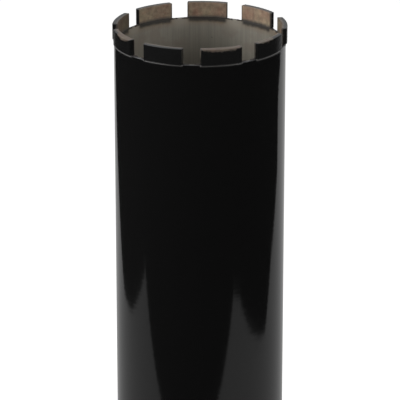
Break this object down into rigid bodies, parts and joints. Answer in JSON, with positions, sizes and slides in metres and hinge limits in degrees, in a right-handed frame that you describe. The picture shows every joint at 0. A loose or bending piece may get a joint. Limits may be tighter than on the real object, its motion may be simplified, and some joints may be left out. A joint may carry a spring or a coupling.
{
  "type": "diamond core bit",
  "caption": "Wet diamond core bit: thin steel tube with sintered diamond segments and water slots on its rim, closed at the back by a plate with a threaded hub.",
  "frame": {"origin": "centre of the hub's flat end face, which the bit stands on", "axes": "+Z along the tube's axis from the hub to the crown; the hub's two wrench flats face +X and -X"},
  "size_m": [0.102, 0.102, 0.3918],
  "materials": {
    "black_paint": "glossy black paint on drawn steel, bare inside the tube",
    "diamond_segment": "sintered metal powder with diamond grit, painted black outside, bare brown inside",
    "bare_steel": "turned bare steel"
  },
  "bodies": {
    "root": {"core_tube": "black_paint", "back_plate": "black_paint", "hub": "black_paint", "plate_weld": "black_paint", "hub_weld": "black_paint", "rim_weld": "black_paint", "segment_1": "diamond_segment", "segment_2": "diamond_segment", "segment_3": "diamond_segment", "segment_4": "diamond_segment", "segment_5": "diamond_segment", "segment_6": "diamond_segment", "segment_7": "diamond_segment", "segment_8": "diamond_segment", "segment_9": "diamond_segment"}
  },
  "joints": []
}
